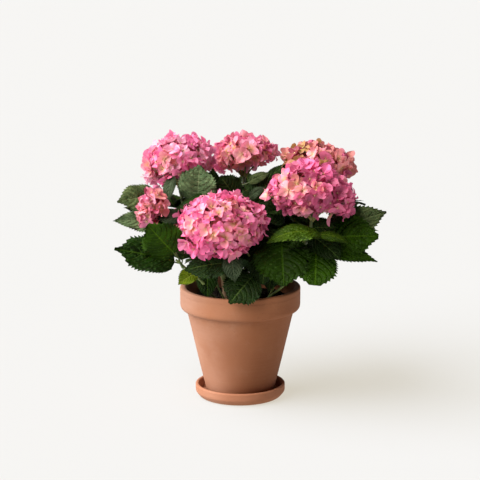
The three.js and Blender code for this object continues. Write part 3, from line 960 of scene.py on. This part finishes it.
# each tint has its share, the side that has more of it, and how much more;
# each dent has the side it is on, how deep and how tight it is
# the darkest tints lean to the lower and right sides of a bloom, where shade falls: painted shade
bloomHeads = {
    "front": {
        "size": 0.93,
        "dents": [((0.8, -0.2, -0.6), 0.22, 5), ((-0.9, -0.2, 0.5), 0.08, 6),
                  ((-0.5, -0.3, -0.8), -0.09, 10)],
        "tints": {"hot": (3.4, (-0.3, -0.3, 0.4), 0.8), "wine": (1.0, (0.7, -0.2, -0.6), 1.6),
                  "pink": (5, (0, 0, 1), 0.4), "pale": (1.8, (0.6, -0.3, 0.3), 0.8),
                  "blush": (0.9, (0.5, -0.6, 0), 0.8), "gold": (3.4, (0.6, -0.6, -0.1), 1.2),
                  "rose": (1.8, (0.3, 0, -0.6), 0.8)}},
    "upper_left": {
        "size": 0.95,
        "dents": [((-0.15, 0, 1), 0.09, 9), ((0.65, -0.3, -0.7), 0.24, 5), ((0.9, 0, 0.4), -0.1, 6),
                  ((-0.7, -0.2, -0.74), -0.28, 8)],
        "tints": {"wine": (0.4, (0.8, -0.2, -0.6), 2.4), "hot": (3, (0.5, -0.4, 0.2), 0.6),
                  "pink": (5, (0, 0, 1), 0.4), "pale": (3.6, (-0.5, -0.3, 0.4), 0.8),
                  "blush": (1.2, (-0.6, -0.6, 0), 0.9), "gold": (1.6, (-0.2, -0.6, -0.3), 0.8),
                  "rose": (0.7, (0.4, 0, -1), 1)}},
    "upper_back": {
        "neck": 1.45, "stout": 1.35,
        "dents": [((0.4, -0.4, -0.85), 0.56, 4), ((1, 0, 0.15), -0.16, 8), ((-0.1, 0, 1), 0.28, 5),
                  ((-0.6, -0.25, -0.8), -0.44, 8)],
        "tints": {"hot": (0.6, (-0.6, 0, -0.3), 1), "pink": (3, (0, 0, 1), 0.5),
                  "blush": (4.6, (0, -0.6, 0.4), 0.6), "peach": (1.2, (0, -0.3, 0.6), 0.6),
                  "salmon": (1.4, (0.4, -0.6, -0.5), 1), "wine": (0.5, (0.7, -0.2, -0.8), 2.0),
                  "pale": (3.4, (0, -0.4, 0.6), 0.6), "gold": (2.2, (0, -0.6, 0), 0.8),
                  "maroon": (0.2, (-0.2, -0.2, -1), 2.5)}},
    "upper_right": {
        "dents": [((0.55, -0.1, 0.83), 0.44, 4), ((-0.6, 0, 0.8), -0.13, 9), ((-1, 0, 0), 0.1, 8),
                  ((0, 0, -1), 0.25, 4)],
        "tints": {"dusty": (9.0, (0.2, 0, 0.4), 0.4), "salmon": (2.6, (0.6, -0.3, 0.5), 1.0),
                  "peach": (0.3, (0.3, 0, 0.6), 0.8), "rose": (1.4, (0.3, -0.2, 0.4), 0.4),
                  "olive": (0.7, (-0.75, -0.6, 0.3), 3.4), "maroon": (0.4, (-0.7, -0.5, 0.4), 2.8),
                  "wine": (0.8, (0.7, 0, -0.6), 2), "blush": (0.9, (0.3, 0, 0.8), 0.8)}},
    "right": {
        "dents": [((0.8, 0, 0.62), 0.46, 4), ((-0.4, 0, -1), 0.24, 6), ((-0.85, 0, 0.5), 0.16, 6),
                  ((-1, -0.3, -0.1), -0.12, 12), ((0.72, -0.2, -0.72), -0.2, 8), ((1, 0, 0), 0.05, 8),
                  ((0.15, -0.3, -1), 0.3, 30)],
        "tints": {"hot": (1.8, (0.1, 0, 0.9), 1.6), "pink": (0.4, (0.3, -0.3, 0.3), 0.5),
                  "maroon": (0.25, (0.1, -1, -0.1), 2.5), "dusty": (0.3, (0.1, -1, 0), 2.0),
                  "rose": (3.6, (0.3, -0.4, -0.6), 0.8), "wine": (11.0, (0.3, -0.6, -0.2), 0.9),
                  "salmon": (0.7, (-0.8, -0.5, -0.2), 1.6), "blush": (0.7, (-0.8, -0.4, 0), 1.8),
                  "gold": (1.2, (-0.5, -0.8, 0), 0.9)}},
    "small_left": {
        "crowd": 1.3, "swell": 0.99, "size": 0.88, "shift": (0.004, -0.03, -0.003),
        "dents": [((0.75, 0, -0.65), 0.56, 3.5), ((-0.5, -0.2, -0.8), -0.12, 6), ((-0.9, 0, 0.5), 0.44, 4)],
        "tints": {"pink": (3.0, (-0.3, 0, -0.3), 0.8), "blush": (2.6, (0, -0.5, 0.5), 0.6),
                  "pale": (1.8, (-0.6, -0.3, 0), 0.6), "dusty": (2.0, (0.8, -0.3, 0.2), 2.0),
                  "rose": (1.8, (0.3, 0, -0.5), 1.0), "salmon": (0.7, (0.8, 0, 0.1), 3),
                  "hot": (0.6, (-0.3, 0, -0.9), 3), "gold": (0.8, (0, -0.5, 0.4), 1)}},
    "rear_left": {
        "tints": {"hot": (3, (0, 0, 1), 0.4), "pink": (5, (0, 1, 0), 0.4), "pale": (2, (-1, 0, 0), 0.6),
                  "gold": (1.5, (0, 0.6, 0), 0.6), "rose": (0.8, (0, 0, -1), 1)}},
    "rear_right": {
        "tints": {"pink": (4, (0, 0, 1), 0.4), "salmon": (1.2, (1, 0, 0), 0.6), "hot": (2, (0, 1, 0), 0.5),
                  "gold": (1.4, (0, 0.6, 0.4), 0.6), "rose": (0.8, (0, 0, -1), 1)}},
}


def spreadOver(count, lowest):  # even directions over a ball, down to a lowest height
    k = np.arange(count) + 0.5
    z = 1 - (1 - lowest) * k / count
    ways = polar(np.sqrt(np.maximum(0, 1 - z ** 2)), np.pi * (1 + 5 ** 0.5) * k, z)
    return unit(ways + rng.normal(0, 0.55 / math.sqrt(count), ways.shape))


def chooseTints(ways, palette):
    weights = np.stack([share * np.exp(focus * ways @ unit(side))
                        for share, side, focus in palette.values()], -1)
    weights = np.cumsum(weights / weights.sum(-1, keepdims=True), -1)
    pick = (rng.random(len(ways))[:, None] > weights).sum(-1)
    return np.array([tintNames.index(name) for name in palette])[pick]


def dented(ways, dents):  # how far out each way the ball reaches
    reach = np.ones((len(ways), 1))
    for side, depth, tightness in dents:
        reach -= depth * np.exp(tightness * (ways @ unit(side)[:, None] - 1))
    return reach


def sepals(centres, normals, sizes, tintOf):  # four sepals to a floret, in two crossed pairs
    form = sepalForm
    count = len(centres)
    aside = unit(np.cross(normals, rng.normal(0, 1, (count, 3))))
    ahead = np.cross(normals, aside)
    every = (centres, normals, sizes, aside, ahead)
    centres, normals, sizes, aside, ahead = (part[:, None, None] for part in every)
    s = np.linspace(0, 1, form["rows"])[:, None]
    t = np.linspace(-1, 1, form["columns"])

    def vary(name):
        return rng.uniform(*form[name], count)[:, None, None]

    pairs = []
    opening = vary("opening")
    for k in range(4):
        turn = (k * np.pi / 2 + rng.normal(0, 0.09, count))[:, None, None, None]
        radial = aside * np.cos(turn) + ahead * np.sin(turn)
        across = ahead * np.cos(turn) - aside * np.sin(turn)
        length = sizes * vary("length")
        half = sizes * form["halfWidth"] * vary("width")
        point = vary("point")  # some are round at the end, some come to a point
        widest = form["rise"] / (form["rise"] + point)
        outline = 0.78 * (np.maximum(s, 1e-3) / widest) ** form["rise"]
        outline = outline * (np.maximum(1 - s, 1e-3) / (1 - widest)) ** point
        tilt = form["tilt"] + opening + 0.1 * (k % 2) + vary("lift")
        cup = vary("cup") * s ** 2
        edge = vary("edge") * t ** 2
        crease = vary("crease") * (np.abs(t) - 0.5)
        curl = vary("curl") * np.clip(s - 0.6, 0, 1) ** 2
        twist = vary("twist") * s
        ruffle = vary("ruffle") * np.sin(6 * s + 4 * t + vary("phase")) * np.abs(t)
        side = half * outline * t
        out = length * (0.05 + 0.95 * s)
        height = out * np.sin(tilt) + length * (cup - curl) + half * outline * (edge + crease + ruffle)
        height = height + side * np.sin(twist) + length * 0.04 * (k % 2)
        flat = radial * (out * np.cos(tilt))[..., None] + across * (side * np.cos(twist))[..., None]
        pairs.append(centres + flat + normals * height[..., None])
    points = np.stack(pairs, 1).reshape(count * 4, form["rows"], form["columns"], 3)
    band = rng.integers(0, 3, count * 4)[:, None, None]  # each tint has three patterns
    kept = ~crossing(points)
    tintOf = np.repeat(tintOf, 4)[kept]
    sideways = (tintOf[:, None, None] + 0.5 + 0.48 * t) / len(tintNames)
    uv = np.stack(np.broadcast_arrays(sideways, (band[kept] + 0.02 + 0.96 * s) / 3), -1)
    quads = gridQuads(form["rows"], form["columns"], count=kept.sum())
    return points[kept], quads, np.repeat(tintOf, (form["rows"] - 1) * (form["columns"] - 1)), uv


def ballArea(half):  # close to the surface of a ball squashed to these half sizes
    x, y, z = half
    return 4 * np.pi * (((x * y) ** 1.6 + (x * z) ** 1.6 + (y * z) ** 1.6) / 3) ** (1 / 1.6)


def rayStalks(look, neck, ways, centres):  # from the end of the cane to each group of florets, then to each
    stout = look.get("stout", 1.0)
    thick, thin = bloomForm["ray"]
    rays = spreadOver(bloomForm["rays"], -0.1)
    group = np.argmax(ways @ rays.T, -1)
    for k in np.unique(group):
        ends = centres[group == k]
        fork = neck + (ends.mean(0) - neck) * bloomForm["fork"]
        bend = neck * 0.45 + fork * 0.55 + [0, 0, 0.006]
        yield curved(neck, bend, fork, 6), thick * stout, thin * stout
        for end in ends:
            yield fork + (end - fork) * np.linspace(0, 1, 6)[:, None], *bloomForm["raylet"]


def makeBloom(name, materials):
    low, high = headBox(name)
    look = bloomHeads[name]
    form = bloomForm
    centre = np.array((low + high) / 2)
    half = np.array((high - low) / 2)
    size = form["size"] * look.get("size", 1.0)
    share = (1 - form["lowest"]) / 2
    count = int(form["crowd"] * look.get("crowd", 1.0) * ballArea(half) * share / (np.pi * size ** 2))
    ways = spreadOver(count, form["lowest"])
    inner = spreadOver(count // 2, form["innerLowest"])
    depth = np.concatenate([rng.uniform(*form["outer"], count), rng.uniform(*form["inner"], len(inner))])
    ways = np.concatenate([ways, inner])
    reach = depth[:, None] * look.get("swell", 1.0) * dented(ways, look.get("dents", []))
    centres = centre + ways * (half - form["inset"]) * reach
    normals = unit(unit(ways / half) + rng.normal(0, form["facing"], ways.shape))
    tintOf = chooseTints(ways, look["tints"])
    # most inner florets take a dark tint: painted shade between the outer ones
    shade = rng.choice([tintNames.index(n) for n in form["shades"]], len(inner))
    tintOf[count:] = np.where(rng.random(len(inner)) < form["shaded"], shade, tintOf[count:])
    sizes = size * rng.uniform(*form["sizes"], len(ways))
    heap = Heap()
    heap.add(*sepals(centres, normals, sizes, tintOf))
    budSizes = sepalForm["bud"] * rng.uniform(*sepalForm["budSizes"], len(ways))
    buds, quads = balls(centres + normals * sepalForm["budLift"], budSizes, uneven=0.04)
    creamy = tintNames.index("cream")
    uv = np.broadcast_to([(creamy + 0.5) / len(tintNames), 0.1], (buds.size // 3, 2))
    heap.add(buds, quads, creamy, uv)
    settle(heap.build("bloom_" + name.title().replace("_", ""), materials), ["bloom_" + name])
    neck = centre - [0, 0, half[2] * look.get("neck", form["neck"])]
    return list(rayStalks(look, neck, ways, centres))


def makeBlooms():
    materials = [sepalSkin(name + "Sepal", *colours) for name, colours in tints.items()]
    stalks = []
    for node in nodesNamed("bloom_"):
        stalks += makeBloom(node[6:], materials)
    paths, thick, thin = (np.array(part) for part in zip(*stalks))
    heap = Heap()
    heap.add(*tubes(paths, np.linspace(thick, thin, 6, axis=-1), 5))
    settle(heap.build("bloomStalks", [stalkSkin("bloomStalk")]))
    print("blooms made")


studio = {
    "paper": (0.15, 0.17, 0.215), "floorGlow": (0.63, 0.59, 0.5), "wallGlow": (0.73, 0.7, 0.64),
    "floor": 13.0, "wall": 2.5, "sky": 0.12, "skyColour": (1.0, 0.985, 0.96, 1.0),
    "sun": 8.5, "sunSpread": 70, "sunFrom": (-1.0, -0.27, 0.97), "sunColour": (1.0, 0.97, 0.93),
}


def aimed(way):  # the turn that points a lamp or camera this way
    return way.to_track_quat("-Z", "Y").to_euler()


def makeStudio():
    curve = [(studio["floor"] + studio["wall"] * math.sin(a), studio["wall"] * (1 - math.cos(a)))
             for a in np.linspace(0, math.pi / 2, 12)]
    for name, profile in {"floor": [(0.001, 0.0), curve[0]], "wall": curve}.items():
        glow = (*studio[name + "Glow"], 1.0)
        paper = Graph(name + "Paper").finish(studio["paper"], 0.95, Specular_IOR_Level=0.0,
                                             Emission_Color=glow, Emission_Strength=1.0)
        thrown(name + "Sheet", np.array(profile), 96, 0.0, paper)
    world = bpy.data.worlds.new("studio")
    world.use_nodes = True
    sky = world.node_tree.nodes["Background"].inputs
    sky["Color"].default_value = studio["skyColour"]
    sky["Strength"].default_value = studio["sky"]
    bpy.context.scene.world = world
    lamp = bpy.data.lights.new("key", "SUN")
    lamp.energy = studio["sun"]
    lamp.angle = math.radians(studio["sunSpread"])
    lamp.color = studio["sunColour"]
    put("key", lamp).rotation_euler = aimed(-Vector(studio["sunFrom"]))
    print("studio lit")


def makeCamera():
    camera = put("camera", bpy.data.cameras.new("camera"))
    camera.location = view["from"]
    camera.data.lens = view["lens"]
    camera.rotation_euler = aimed(Vector(view["to"]) - camera.location)
    bpy.context.scene.camera = camera


makeStudio()
makeCamera()
makePot()
makeSoil()
makeLeaves(makeCanes())
makeBlooms()
bpy.context.scene.view_settings.view_transform = "Standard"
